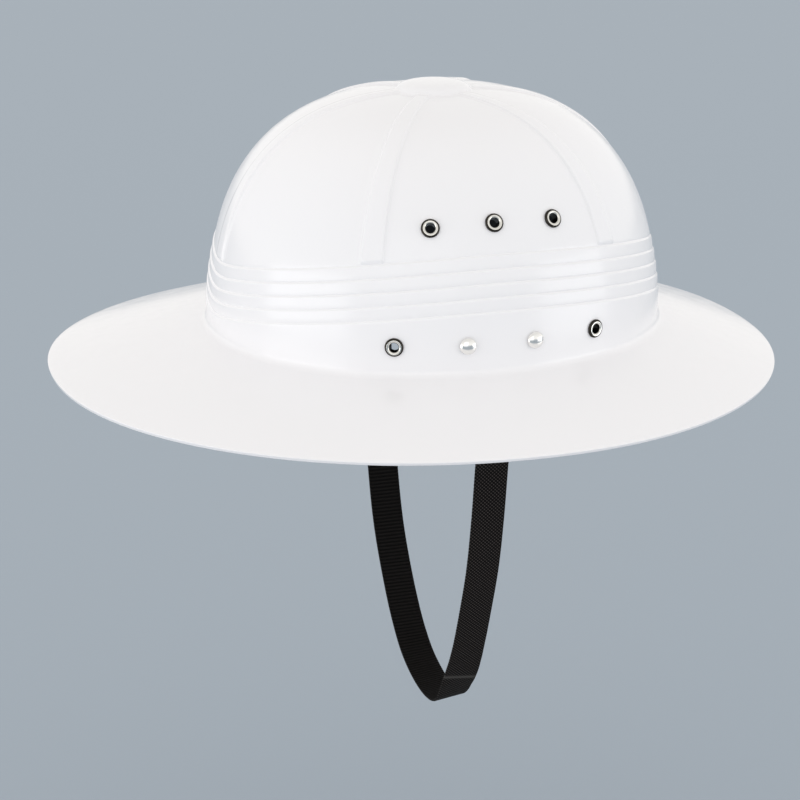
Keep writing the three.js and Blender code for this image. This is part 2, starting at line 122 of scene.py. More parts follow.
class SunHatFasteners(bpy.types.PropertyGroup):
    """Sizes of the eyelets and rivets"""

    gap: length("Gap", "Clearance between pieces that touch", 0.3 * MM)
    inner_gap: length("Inner Gap", "Clearance inside the curved wall", 0.6 * MM)
    upper_row: length("Upper Row", "Height of the row of three eyelets", 64.5 * MM)
    upper_arch: length("Upper Arch", "How much higher the middle eyelet sits", 1 * MM)
    lower_row: length("Lower Row", "Height of the eyelets and rivets in the band", 13.8 * MM)
    eyelet_radius: length("Eyelet Radius", "Outer radius of the rolled rim", 4.2 * MM)
    eyelet_hole: length("Eyelet Hole", "Radius of the hole", 2.1 * MM)
    barrel_wall: length("Barrel Wall", "Thickness of the eyelet's barrel", 0.45 * MM)
    eyelet_roll: length("Eyelet Roll", "Height of the rolled rim", 1.1 * MM)
    rivet_radius: length("Rivet Radius", "Radius of the rivet's dome", 3.85 * MM)
    rivet_dome: length("Rivet Dome", "Height of the rivet's dome", 2.3 * MM)
    shank_radius: length("Shank Radius", "Radius of the rivet's shank", 1.8 * MM)
    tail_radius: length("Tail Radius", "Radius of the rivet's inner head", 3.3 * MM)
    tail_height: length("Tail Height", "Height of the rivet's inner head", 1 * MM)
    rivet_clear: length("Rivet Clear", "Strap's edge to the middle of a rivet", 7.5 * MM)
    colour: colour("Nickel", "Colour of the eyelets' plated rims", "#E2E0DA")
    skirt_shade_colour: colour("Nickel Shade", "Dark colour painted as shade at a rim's foot and in its barrel", "#3A3733")
    rivet_colour: colour("Rivets", "Colour of the plated rivets", "#F2F1EE")
    bar_colour: colour("Clamp Bars", "Colour of the bars that clamp the strap", "#DADBDC")


class SunHatStrap(bpy.types.PropertyGroup):
    """Sizes of the chin strap"""

    width: length("Strap Width", "Width of the webbing", 16 * MM)
    thickness: length("Strap Thickness", "Thickness of the webbing", 1.3 * MM)
    drop: length("Strap Drop", "Crown's mouth to the bottom of the loop", 190.8 * MM)
    end_rise: length("End Rise", "How far the ends reach above the rivets", 7 * MM)
    bar_thickness: length("Bar Thickness", "Thickness of the bar behind the strap", 1.2 * MM)
    rib_pitch: length("Rib Pitch", "Spacing of the cross ribs and of the floats in one row", 1.8 * MM)
    relief: length("Relief", "Height of the ribs of the inner face", 0.22 * MM)
    crease_width: length("Crease Width", "Width of the highlight painted along the fold", 1.1 * MM)
    colour: colour("Webbing", "Colour of the woven yarn", "#0F0D0C")
    fold_highlight_colour: colour("Fold Highlight", "Light colour painted along the fold as its highlight", "#4A4744")


class SunHatStage(bpy.types.PropertyGroup):
    """The camera, light and floor"""

    azimuth: FloatProperty(
        name="Azimuth",
        description="Camera's turn round the hat",
        default=math.radians(71.7),
        subtype="ANGLE",
    )
    elevation: FloatProperty(
        name="Elevation",
        description="Camera's height angle",
        default=math.radians(16.6),
        subtype="ANGLE",
    )
    distance: length("Distance", "Camera to the crown's mouth", 1.3)
    floor_height: FloatProperty(
        name="Floor Height", description="Height of the floor", default=-0.36, unit="LENGTH"
    )
    world_strength: FloatProperty(
        name="World Strength", description="Brightness of the room", default=1.0, min=0
    )
    floor_colour: colour("Floor", "Colour of the floor", "#A9B4BF")


# The ribs' angles round the crown in degrees, from the wearer's left towards the back.
RIB_ANGLES = np.radians([36, 90, 144, 214.5, 270, 325.5])

# How square each curve is: a power of 2 makes an ellipse, and a higher one fills its corners.
OVAL_POWER = 2.1
BRIM_POWER = 2.1
SHOULDER_RISE_POWER = 2.5
SHOULDER_TURN_POWER = 2.7
BUTTON_SQUARENESS = 4

# How softly the pleat lines turn at front and back, and how much the brim steepens outwards.
ARCH_ROUNDING = 0.12
BRIM_SAG = 0.15

# Shares of the button's radius at which its dome ends and its soft foot ends.
BUTTON_EDGE = 0.965
BUTTON_FOOT = 1.07

# The height over which a rib's foot runs out, and a crease's width as a share of a step's softness.
RIB_FADE = 2.4 * MM
CREASE_WIDTH_SHARE = 0.4

# Mesh spans across each flank of a rib, across its top and across the panel to the next rib.
FLANK_SPANS = 5
TOP_SPANS = 4
PANEL_SPANS = 32

# Where the shell's rings lie: round the button as shares of its radius, between button and pleats
# from the first share down to a height over the first line, then in millimetres above the lines.
BUTTON_RINGS = (
    *(0.1, 0.22, 0.36, 0.5, 0.62, 0.73, 0.82, 0.89),
    *(0.93, 0.955, 0.97, 0.985, 1.0, 1.02, 1.045, 1.07),
)
SIDE_FROM_SHARE = 1.12
SIDE_TO_HEIGHT = 3.2 * MM
SIDE_RINGS = 42
RIB_FOOT_RINGS = (2.7, 2.3, 1.9, 1.5)
PLEAT_RINGS = (1.2, 0.95, 0.8, 0.65, 0.5, 0.35, 0.2, 0.05, -0.1, -0.25, -0.4, -0.6, -1.2, -2.4, -3.6)
BAND_TOP = -1.2

# Rings down the band, round the fillet, over the brim and round each corner of its edge.
BAND_RINGS = 9
FILLET_RINGS = 10
BRIM_RINGS = 25
CORNER_TURNS = np.radians((22.5, 45, 67.5, 90))

# Rings under the brim, as shares of its width with their depth in millimetres, then under the fillet
# and up the crown's inside to a share of its width.
UNDERSIDE_RINGS = (
    *((0.985, 1.8), (0.95, 2), (0.85, 2), (0.7, 2), (0.55, 2)),
    *((0.4, 2), (0.25, 2), (0.1, 2), (0, 2)),
)
FILLET_UNDERSIDE_RINGS = (0.85, 0.7, 0.5, 0.3, 0.15)
INSIDE_RINGS = 28
INSIDE_TOP_SHARE = 0.08

# The crown's inside, painted dark as shade, starts this far above its mouth. Its faces look towards a
# point this far below.
INSIDE_FROM = 4 * MM
INSIDE_AIM = 20 * MM

# Edges sharper than this many degrees stay sharp, and turned pieces have this many sides.
SMOOTH_ANGLE = 40
TURNED_SIDES = 64


def moulding():
    """The crown's and brim's sizes."""
    return bpy.context.scene.sun_hat_shell


def fasteners():
    """The eyelets' and rivets' sizes."""
    return bpy.context.scene.sun_hat_fasteners


def strap():
    """The chin strap's sizes."""
    return bpy.context.scene.sun_hat_strap


def smooth(t):
    """0 to 1 with a soft start and end."""
    t = np.clip(t, 0, 1)
    return t * t * (3 - 2 * t)


def lerp(a, b, t):
    """From a at 0 to b at 1."""
    return a + (b - a) * t


def oval(angle, half_width, half_length, power):
    """Radius of an oval at an angle."""
    across = np.abs(np.cos(angle)) / half_width
    along = np.abs(np.sin(angle)) / half_length
    return (across**power + along**power) ** (-1 / power)


def crown_oval(angle):
    """Radius of the crown's mouth at an angle."""
    return oval(angle, moulding().crown_half_width, moulding().crown_half_length, OVAL_POWER)


def mean_radius():
    """Radius of a circle as large as the crown's mouth."""
    return math.sqrt(moulding().crown_half_length * moulding().crown_half_width)


def arch_share(angle):
    """How far to the side an angle lies: 0 at front and back, 1 over the ears."""
    level = np.hypot(np.cos(angle), ARCH_ROUNDING) - ARCH_ROUNDING
    return level / (math.hypot(1, ARCH_ROUNDING) - ARCH_ROUNDING)


# The crown's side is one curve. A turn is a place on it: 0 at the mouth, a right angle at the top.
# A share is the crown's width there, as a part of its width at the mouth.


def turn_at_height(z):
    """The turn at a height above the mouth."""
    return np.arcsin(np.clip(z / moulding().crown_height, 0, 1) ** (SHOULDER_RISE_POWER / 2))


def height_at_turn(turn):
    """The height above the mouth at a turn."""
    return moulding().crown_height * np.sin(turn) ** (2 / SHOULDER_RISE_POWER)


def share_at_turn(turn):
    """The share of the crown's width at a turn."""
    return np.cos(turn) ** (2 / SHOULDER_TURN_POWER)


def turn_at_share(share):
    """The turn at a share of the crown's width."""
    return np.arccos(share ** (SHOULDER_TURN_POWER / 2))


def button_turn(share):
    """The turn at a share of the button's radius from the crown's top."""
    return turn_at_share(share * moulding().button_radius / mean_radius())


def points(x, y, z):
    """Points from arrays of coordinates."""
    return np.stack(np.broadcast_arrays(x, y, z), axis=-1)


def pleat_height(line, angle):
    """Height of a pleat line at an angle. Line 1 is the highest."""
    s = moulding()
    lowest = lerp(s.lowest_pleat_end, s.lowest_pleat_side, arch_share(angle))
    return lowest + (s.pleats - line) * s.pleat_pitch


def spread_at(angle, z):
    """How far the crown has widened at a height, from its first pleat line down to its last."""
    s = moulding()
    return s.pleat_spread * np.clip((pleat_height(1, angle) - z) / s.pleat_pitch, 0, s.pleats - 1)


def crown_base(angle, turn):
    """The bare crown, without button, ribs and pleats."""
    z = height_at_turn(turn)
    r = share_at_turn(turn) * crown_oval(angle) + spread_at(angle, z)
    return points(r * np.cos(angle), r * np.sin(angle), z)


def brim_base(angle, share):
    """The brim's top, at a share of the way from the crown to its edge."""
    s = moulding()
    front = np.sin(angle) < 0
    reach = np.where(front, s.brim_front, s.brim_back)
    edge = oval(angle, s.brim_half_width, reach, BRIM_POWER)
    end_drop = np.where(front, s.brim_drop_front, s.brim_drop_back)
    drop = lerp(end_drop, s.brim_drop_side, np.cos(angle) ** 2)
    fall = lerp(share, share * share, BRIM_SAG)
    foot = crown_oval(angle) + s.pleat_spread * (s.pleats - 1)
    r = lerp(foot, edge, share)
    return points(r * np.cos(angle), r * np.sin(angle), -drop * fall)


def brim_width(angle):
    """From the crown to the brim's edge, seen from above."""
    return np.linalg.norm((brim_base(angle, 1.0) - brim_base(angle, 0.0))[..., :2], axis=-1)


def fillet_share(angle):
    """The fillet's run as a share of the brim's width."""
    return moulding().fillet_run / brim_width(angle)


def edge_round_share(angle):
    """The edge's rounding as a share of the brim's width."""
    return moulding().edge_round / brim_width(angle)


def fillet_base(angle, share):
    """The turn from crown to brim, at a share of the way down it."""
    top = crown_base(angle, turn_at_height(moulding().fillet_rise))
    corner = brim_base(angle, 0.0)
    out = brim_base(angle, fillet_share(angle))
    share = np.asarray(share)[..., None]
    return top * (1 - share) ** 2 + corner * 2 * share * (1 - share) + out * share**2


def normals(base, angle, at):
    """The surface's own direction outwards at each point."""
    step = 1e-3
    around = base(angle + step, at) - base(angle - step, at)
    down = base(angle, at + step) - base(angle, at - step)
    normal = np.cross(around, down)
    normal /= np.linalg.norm(normal, axis=-1, keepdims=True)
    place = base(angle, at)
    outward = place * (1, 1, 0) + (0, 0, moulding().crown_half_width)
    return normal * np.sign(np.sum(normal * outward, axis=-1, keepdims=True))


def pleat_proud(angle, z):
    """How far the pleats and the band under them stand out at a height."""
    s = moulding()
    below = pleat_height(1, angle) - z
    line = np.clip(np.floor((below + s.pleat_softness / 2) / s.pleat_pitch), 0, s.pleats - 1)
    under = below - line * s.pleat_pitch
    band = pleat_height(s.pleats, angle) - s.fillet_rise
    run = np.where(line == s.pleats - 1, band, s.pleat_pitch)
    step = smooth(under / s.pleat_softness + 0.5)
    proud = s.pleat_step * step * (1 - np.clip(under / run, 0, 1))
    nearest = np.clip(np.round(below / s.pleat_pitch), 0, s.pleats - 1)
    from_crease = below - nearest * s.pleat_pitch + s.pleat_softness / 2
    crease_width = CREASE_WIDTH_SHARE * s.pleat_softness
    return proud - s.pleat_crease * np.exp(-((from_crease / crease_width) ** 2))


def button_share(turn):
    """Distance from the crown's top as a share of the button's radius."""
    return share_at_turn(turn) * mean_radius() / moulding().button_radius


def button_proud(share):
    """The button's dome, with a soft foot where it meets the crown."""
    height = moulding().button_height
    dome = height * np.sqrt(1 - np.minimum(share, BUTTON_EDGE) ** BUTTON_SQUARENESS)
    rim = height * math.sqrt(1 - BUTTON_EDGE**BUTTON_SQUARENESS)
    slope = -height * height * 2 * BUTTON_EDGE**3 / rim
    span = BUTTON_FOOT - BUTTON_EDGE
    t = np.clip((share - BUTTON_EDGE) / span, 0, 1)
    foot = rim * (2 * t**3 - 3 * t**2 + 1) + slope * span * (t**3 - 2 * t**2 + t)
    return np.where(share < BUTTON_EDGE, dome, foot)


def crown_proud(angle, turn, on_rib):
    """How far button, ribs and pleats stand out of the crown."""
    s = moulding()
    z = height_at_turn(turn)
    share = button_share(turn)
    fade_in = smooth((share - BUTTON_EDGE) / (BUTTON_FOOT - BUTTON_EDGE))
    fade_out = smooth((z - pleat_height(1, angle)) / RIB_FADE)
    rib = s.rib_height * on_rib * fade_in * fade_out
    return button_proud(share) + rib + pleat_proud(angle, z)


def rib_at(rib, turn):
    """The middle of a rib and the half angles of its top and foot at a turn."""
    s = moulding()
    middle = RIB_ANGLES[rib % len(RIB_ANGLES)] + rib // len(RIB_ANGLES) * 2 * math.pi
    foot = turn_at_height(pleat_height(1, middle))
    top = button_turn(1)
    at = np.clip(turn, foot, top)
    up = (at - foot) / (top - foot)
    radius = share_at_turn(at) * crown_oval(middle)
    half_top = lerp(s.rib_foot_width, s.rib_top_width, up) / 2 / radius
    return middle, half_top, half_top + s.rib_flank / radius


def columns_at(turn):
    """The angle of each column of the shell's grid at a turn, and its share of a rib's height."""
    angles, on_rib = [], []
    for rib in range(len(RIB_ANGLES)):
        middle, half_top, half_foot = rib_at(rib, turn)
        following, _, next_foot = rib_at(rib + 1, turn)
        rise = np.arange(FLANK_SPANS) / FLANK_SPANS
        flat = np.arange(TOP_SPANS) / TOP_SPANS
        panel = np.arange(PANEL_SPANS) / PANEL_SPANS
        angles += [
            lerp(middle - half_foot, middle - half_top, rise),
            lerp(middle - half_top, middle + half_top, flat),
            lerp(middle + half_top, middle + half_foot, rise),
            lerp(middle + half_foot, following - next_foot, panel),
        ]
        on_rib += [smooth(rise), np.ones(TOP_SPANS), smooth(1 - rise), np.zeros(PANEL_SPANS)]
    return np.concatenate(angles), np.concatenate(on_rib)


def crown_ring(turn_of):
    """A ring of the crown's outside. turn_of gives its turn at an angle, and the ring's columns are
    set out at the turn that it has on the first rib."""
    angle, on_rib = columns_at(turn_of(RIB_ANGLES[0]))
    turn = turn_of(angle) + 0 * angle
    place = crown_base(angle, turn)
    return place + normals(crown_base, angle, turn) * crown_proud(angle, turn, on_rib)[:, None]


def line_ring(line, up):
    """A ring of the crown's outside that follows a pleat line, at a height above it."""
    return crown_ring(lambda angle: turn_at_height(pleat_height(line, angle) + up))


def plain_ring(base, at_of, proud, columns_turn=0.0):
    """A ring of any surface, moved out by one distance. at_of gives its place at an angle, and the
    ring's columns are set out at one turn."""
    angle, _ = columns_at(columns_turn)
    at = at_of(angle) + 0 * angle
    return base(angle, at) + normals(base, angle, at) * proud


def edge_ring(out, down):
    """A ring of the brim's edge: out is a share of its rounding, down the depth under the top."""
    return plain_ring(brim_base, lambda angle: 1 + (out - 1) * edge_round_share(angle), -down)


def crown_rings():
    """The crown's outside, from the button down to where its foot turns out."""
    s = moulding()

    def side_end(angle):
        return turn_at_height(pleat_height(1, angle) + SIDE_TO_HEIGHT)

    def band_height(angle, step):
        return lerp(pleat_height(s.pleats, angle) + BAND_TOP * MM, s.fillet_rise, step)

    rings = [crown_ring(lambda angle: button_turn(share)) for share in BUTTON_RINGS]
    side_start = button_turn(SIDE_FROM_SHARE)
    for step in np.linspace(0, 1, SIDE_RINGS):
        rings.append(crown_ring(lambda angle: lerp(side_start, side_end(angle), step)))
    rings += [line_ring(1, up * MM) for up in RIB_FOOT_RINGS]
    for line in range(1, s.pleats + 1):
        for up in PLEAT_RINGS:
            if line < s.pleats or up >= BAND_TOP:
                rings.append(line_ring(line, up * MM))
    for step in np.linspace(0, 1, BAND_RINGS + 1)[1:]:
        rings.append(crown_ring(lambda angle: turn_at_height(band_height(angle, step))))
    return rings


def brim_rings():
    """The fillet, the brim's top and its rounded edge."""
    s = moulding()

    def brim_share(angle, step):
        return lerp(fillet_share(angle), 1 - edge_round_share(angle), step)

    rings = []
    for step in np.linspace(0, 1, FILLET_RINGS + 1)[1:]:
        rings.append(plain_ring(fillet_base, lambda angle: step, 0))
    for step in np.linspace(0, 1, BRIM_RINGS + 1)[1:]:
        rings.append(plain_ring(brim_base, lambda angle: brim_share(angle, step), 0))
    flat = s.edge_thickness - s.edge_round
    for turn in CORNER_TURNS:
        rings.append(edge_ring(math.sin(turn), s.edge_round * (1 - math.cos(turn))))
    rings.append(edge_ring(1.0, flat))
    for turn in CORNER_TURNS:
        rings.append(edge_ring(math.cos(turn), s.edge_round * math.sin(turn) + flat))
    return rings


def inner_rings():
    """The brim's underside from its edge to the crown, and up the crown's inside."""
    s = moulding()
    rings = []
    for share, depth in UNDERSIDE_RINGS:
        under = -min(depth * MM, s.wall)
        rings.append(plain_ring(brim_base, lambda angle: lerp(fillet_share(angle), 1, share), under))
    for share in FILLET_UNDERSIDE_RINGS:
        rings.append(plain_ring(fillet_base, lambda angle: share, -s.wall))
    mouth, top = turn_at_height(s.fillet_rise), turn_at_share(INSIDE_TOP_SHARE)
    for turn in [lerp(mouth, top, step) for step in np.linspace(0, 1, INSIDE_RINGS)]:
        rings.append(plain_ring(crown_base, lambda angle: turn, -s.wall, turn))
    return rings


def add_object(name, data):
    """Puts a mesh, camera or light into the scene as an object."""
    made = bpy.data.objects.new(name, data)
    bpy.context.scene.collection.objects.link(made)
    return made


def mesh_object(name, vertices, faces, smooth_angle=SMOOTH_ANGLE):
    """A mesh as an object in the scene, smooth but for edges sharper than an angle."""
    mesh = bpy.data.meshes.new(name)
    mesh.from_pydata([tuple(v) for v in vertices], [], faces)
    mesh.update()
    made = add_object(name, mesh)
    finish_mesh(mesh, smooth_angle)
    return made


def finish_mesh(mesh, smooth_angle):
    """Shades a mesh smooth, with its sharper edges kept sharp."""
    mesh.shade_smooth()
    mesh.set_sharp_from_angle(angle=math.radians(smooth_angle))


def grid_faces(rows, columns):
    """Faces between rings of one length, each closed on itself."""
    faces = []
    for row in range(rows - 1):
        for column in range(columns):
            a = row * columns + column
            b = row * columns + (column + 1) % columns
            faces.append((a, a + columns, b + columns, b))
    return faces


def seat_of(side, along, height):
    """Where a fastener sits: a point of the bare crown and the direction out of it."""
    s = moulding()
    turn = turn_at_height(height)
    share = share_at_turn(turn)
    y = along * s.crown_half_length
    rest = 1 - abs(y / (s.crown_half_length * share)) ** OVAL_POWER
    x = side * s.crown_half_width * share * rest ** (1 / OVAL_POWER)
    angle = np.array([math.atan2(y, x)])
    at = np.array([float(turn)])
    place = Vector(crown_base(angle, at)[0])
    out = Vector(normals(crown_base, angle, at)[0])
    in_band = height < pleat_height(s.pleats, angle)[0]
    proud = float(pleat_proud(angle, height)[0]) if in_band else 0.0
    return place, out, proud


# Places of the eyelets to the front and back, as shares of the crown's half length.
UPPER_ALONG = 0.27
LOWER_ALONG = 0.441


def fastener_seats():
    """Every eyelet and rivet: its node, its kind, its seat and how far the band stands out there."""
    f, s = fasteners(), moulding()
    along = (strap().width / 2 + f.rivet_clear) / s.crown_half_length
    rows = [
        ("eyelet", "upper_1", -UPPER_ALONG, f.upper_row),
        ("eyelet", "upper_2", 0, f.upper_row + f.upper_arch),
        ("eyelet", "upper_3", UPPER_ALONG, f.upper_row),
        ("eyelet", "lower_1", -LOWER_ALONG, f.lower_row),
        ("eyelet", "lower_2", LOWER_ALONG, f.lower_row),
        ("rivet", "1", -along, f.lower_row),
        ("rivet", "2", along, f.lower_row),
    ]
    seats = []
    for side, sign in (("left", 1), ("right", -1)):
        for kind, number, share, height in rows:
            place, out, proud = seat_of(sign, share, height)
            seats.append((f"{kind}_{side}_{number}", kind, place, out, proud))
    return seats


def seat_matrix(place, out):
    """Turns +Z out of the crown at a place."""
    turn = Vector((0, 0, 1)).rotation_difference(out)
    return Matrix.Translation(place) @ turn.to_matrix().to_4x4()


def turned(name, profile, matrix, steps=TURNED_SIDES, closed=True):
    """A piece turned about +Z from a profile of radius and height, placed by a matrix. A closed
    profile ends where it starts, and an open one is capped at both ends."""
    angles = np.arange(steps) / steps * 2 * math.pi
    vertices = [
        matrix @ Vector((r * math.cos(a), r * math.sin(a), z)) for r, z in profile for a in angles
    ]
    faces = grid_faces(len(profile), steps)
    last = (len(profile) - 1) * steps
    if closed:
        faces += [(last + i, i, (i + 1) % steps, last + (i + 1) % steps) for i in range(steps)]
    else:
        faces += [tuple(range(steps)), tuple(reversed(range(last, last + steps)))]
    return mesh_object(name, vertices, faces)


def outward(mesh):
    """Turns every face of a closed mesh out."""
    worked = bmesh.new()
    worked.from_mesh(mesh)
    bmesh.ops.recalc_face_normals(worked, faces=worked.faces)
    worked.to_mesh(mesh)
    worked.free()


# Materials. Each starts from what the real one is. These are the spacings of their patterns: the
# moulding's shrink marks are as wide as its ribs, and the grain and wear, which are really finer than
# a third of a millimetre, are drawn as coarse as they need to show.
SHRINK_SPACING = 9 * MM
INSIDE_GRAIN = 1.2 * MM
PLATE_WEAR = 0.8 * MM
BAR_GRAIN = 0.6 * MM

# Nearly all of a noise pattern lies between these values.
NOISE_LOW = 0.3
NOISE_HIGH = 0.7


def new_material(name):
    """An empty material with its output and main shader."""
    material = bpy.data.materials.new(name)
    material.use_nodes = True
    tree = material.node_tree
    tree.nodes.clear()
    output = tree.nodes.new("ShaderNodeOutputMaterial")
    shader = tree.nodes.new("ShaderNodeBsdfPrincipled")
    tree.links.new(shader.outputs["BSDF"], output.inputs["Surface"])
    return material, tree, shader


def add_node(tree, kind, choices=None, **inputs):
    """Adds a node with its choices, and sets or links each input, by name or as _ and its number."""
    node = tree.nodes.new(kind)
    for key, value in (choices or {}).items():
        setattr(node, key, value)
    for key, value in inputs.items():
        socket = node.inputs[int(key[1:]) if key[1:].isdigit() else key.replace("_", " ")]
        if isinstance(value, bpy.types.NodeSocket):
            tree.links.new(value, socket)
        else:
            socket.default_value = value
    return node


def moulded_polyethylene():
    """High-density polyethylene, injection moulded in a polished tool: a bright white gloss that
    stays soft at its highlights, with a faint unevenness where the melt shrank."""
    material, tree, shader = new_material("gloss moulded polyethylene")
    shader.inputs["Base Color"].default_value = moulding().colour
    shader.inputs["IOR"].default_value = 1.5
    shader.inputs["Coat Weight"].default_value = 0.15
    shader.inputs["Coat Roughness"].default_value = 0.08
    place = add_node(tree, "ShaderNodeTexCoord").outputs["Object"]
    shrink = add_node(tree, "ShaderNodeTexNoise", Vector=place, Scale=1 / SHRINK_SPACING, Detail=2.0)
    gloss = add_node(
        tree,
        "ShaderNodeMapRange",
        _0=shrink.outputs["Fac"],
        _1=NOISE_LOW,
        _2=NOISE_HIGH,
        _3=0.2,
        _4=0.27,
    )
    tree.links.new(gloss.outputs["Result"], shader.inputs["Roughness"])
    bump = add_node(
        tree, "ShaderNodeBump", Height=shrink.outputs["Fac"], Strength=0.25, Distance=0.05 * MM
    )
    tree.links.new(bump.outputs["Normal"], shader.inputs["Normal"])
    return material


def painted_inside_shade():
    """The same moulding's unpolished inner side: matt, with a dark colour painted on as the shade
    inside the crown, so that the vent holes look into shade."""
    material, tree, shader = new_material("matt inner face of the crown, painted dark as shade")
    shader.inputs["Base Color"].default_value = moulding().inside_shade_colour
    shader.inputs["Roughness"].default_value = 0.8
    place = add_node(tree, "ShaderNodeTexCoord").outputs["Object"]
    grain = add_node(tree, "ShaderNodeTexNoise", Vector=place, Scale=1 / INSIDE_GRAIN, Detail=3.0)
    bump = add_node(
        tree, "ShaderNodeBump", Height=grain.outputs["Fac"], Strength=0.4, Distance=0.08 * MM
    )
    tree.links.new(bump.outputs["Normal"], shader.inputs["Normal"])
    return material


def nickel_plate(name, plate_colour, least_rough, most_rough):
    """Nickel plate on stamped brass, barrel polished: a slightly warm mirror that fine wear blurs. Its
    dark copy is painted shade and dark reflection at the foot of a rim and in its barrel."""
    material, tree, shader = new_material(name)
    shader.inputs["Base Color"].default_value = plate_colour
    shader.inputs["Metallic"].default_value = 1.0
    place = add_node(tree, "ShaderNodeTexCoord").outputs["Object"]
    wear = add_node(tree, "ShaderNodeTexNoise", Vector=place, Scale=1 / PLATE_WEAR, Detail=3.0)
    rough = add_node(
        tree,
        "ShaderNodeMapRange",
        _0=wear.outputs["Fac"],
        _1=NOISE_LOW,
        _2=NOISE_HIGH,
        _3=least_rough,
        _4=most_rough,
    )
    tree.links.new(rough.outputs["Result"], shader.inputs["Roughness"])
    return material


def bar_plastic():
    """Moulded polypropylene for a hidden part: off-white, satin from a spark-eroded tool."""
    material, tree, shader = new_material("satin moulded polypropylene")
    shader.inputs["Base Color"].default_value = fasteners().bar_colour
    shader.inputs["Roughness"].default_value = 0.5
    place = add_node(tree, "ShaderNodeTexCoord").outputs["Object"]
    grain = add_node(tree, "ShaderNodeTexNoise", Vector=place, Scale=1 / BAR_GRAIN, Detail=2.0)
    bump = add_node(
        tree, "ShaderNodeBump", Height=grain.outputs["Fac"], Strength=0.5, Distance=0.06 * MM
    )
    tree.links.new(bump.outputs["Normal"], shader.inputs["Normal"])
    return material


# The yarn's colour between two floats, where it lies in shade, and on top of a float, where it
# catches light, as parts of its own. A speck of light is small when its power is high.
SHADED_YARN = 0.3
OUTER_BRIGHT, INNER_BRIGHT = 18.0, 2.2
OUTER_POWER, INNER_POWER = 4.0, 1.0


def woven_polypropylene(name, outer):
    """Polypropylene webbing, woven flat: black yarn with a dull lustre. Outside, each float is a
    staggered speck that catches light. Inside, the weft lies in cross ribs. The face is laid out
    along and across the strap in metres."""
    s = strap()
    power = OUTER_POWER if outer else INNER_POWER
    bright = OUTER_BRIGHT if outer else INNER_BRIGHT
    material, tree, shader = new_material(name)
    shader.inputs["Roughness"].default_value = 0.75
    shader.inputs["Specular IOR Level"].default_value = 0.1
    laid = add_node(tree, "ShaderNodeUVMap", {"uv_map": "weave"}).outputs["UV"]
    turns = 2 * math.pi / s.rib_pitch
    scaled = add_node(tree, "ShaderNodeVectorMath", {"operation": "SCALE"}, Vector=laid, Scale=turns)
    split = add_node(tree, "ShaderNodeSeparateXYZ", Vector=scaled.outputs["Vector"])
    waves = [
        add_node(tree, "ShaderNodeMath", {"operation": kind}, _0=split.outputs[axis]).outputs["Value"]
        for kind, axis in (("SINE", "X"), ("SINE", "Y"), ("COSINE", "X"))
    ]
    floats = add_node(tree, "ShaderNodeMath", {"operation": "MULTIPLY"}, _0=waves[0], _1=waves[1])
    relief = floats.outputs["Value"] if outer else waves[2]
    lifted = add_node(tree, "ShaderNodeMapRange", _0=relief, _1=-1.0, _2=1.0, _3=0.0, _4=1.0)
    speck = add_node(
        tree, "ShaderNodeMath", {"operation": "POWER"}, _0=lifted.outputs["Result"], _1=power
    )
    low = (*[c * SHADED_YARN for c in s.colour[:3]], 1.0)
    high = (*[c * bright for c in s.colour[:3]], 1.0)
    yarn = add_node(
        tree, "ShaderNodeMix", {"data_type": "RGBA"}, _0=speck.outputs["Value"], _6=low, _7=high
    )
    # A lighter line is painted along the fold as its highlight, on the outer face.
    crease = add_node(tree, "ShaderNodeAttribute", {"attribute_name": "crease"}).outputs["Fac"]
    fold_highlit = add_node(
        tree, "ShaderNodeMix", {"data_type": "RGBA"}, _0=crease, _6=yarn.outputs[2], _7=s.fold_highlight_colour
    )
    tree.links.new(fold_highlit.outputs[2], shader.inputs["Base Color"])
    bump = add_node(
        tree, "ShaderNodeBump", Height=lifted.outputs["Result"], Strength=0.8, Distance=0.2 * MM
    )
    tree.links.new(bump.outputs["Normal"], shader.inputs["Normal"])
    return material


def matt_paper():
    """Seamless background paper: matt, with no pattern that the eye can find."""
    material, _, shader = new_material("matt background paper")
    shader.inputs["Base Color"].default_value = bpy.context.scene.sun_hat_stage.floor_colour
    shader.inputs["Roughness"].default_value = 0.9
    return material


# The chin strap's route, from the wearer's right to the left, repeated from the solid. Across is a
# share of the distance to its seat, fall a share of its drop, and twist is in degrees.
STRAP_ROUTE = [
    (-0.99, 0.03, 0),
    (-0.953, 0.203, 0),
    (-0.903, 0.395, 0),
    (-0.829, 0.567, 0),
    (-0.736, 0.694, 0),
    (-0.592, 0.805, 0),
    (-0.415, 0.903, 2),
    (-0.247, 0.962, 6),
    (-0.079, 0.99, 8),
    (0.099, 1, 9),
    (0.242, 0.992, 8),
    (0.331, 0.971, 7),
    (0.399, 0.933, 0),
    (0.462, 0.894, -6),
    (0.51, 0.86, -7),
    (0.552, 0.825, -4),
    (0.614, 0.763, -1),
    (0.691, 0.673, 0),
    (0.795, 0.535, 0),
    (0.861, 0.398, 0),
    (0.908, 0.263, 0),
    (0.958, 0.122, 0),
    (0.995, 0.03, 0),
]


def strap_depth():
    """How deep the strap's middle lies under the crown's outside."""
    s = moulding()
    bow = (strap().width / 2) ** 2 / (2 * (s.crown_half_length**2 / s.crown_half_width))
    return s.wall + fasteners().inner_gap + bow + strap().thickness / 2


def strap_seat(z):
    """From the hat's middle to the strap's, at a height inside the crown."""
    return crown_base(np.zeros(1), turn_at_height(np.array([z])))[0, 0] - strap_depth()


def strap_points():
    """Middle line of the strap as rows of x, z and twist."""
    low = fasteners().lower_row
    clamped = [low + strap().end_rise, low, low / 2]
    right = [(-strap_seat(z), z, 0) for z in clamped]
    left = [(strap_seat(z), z, 0) for z in reversed(clamped)]
    free = [(a * strap_seat(0), -fall * strap().drop, twist) for a, fall, twist in STRAP_ROUTE]
    return np.array(right + free + left)


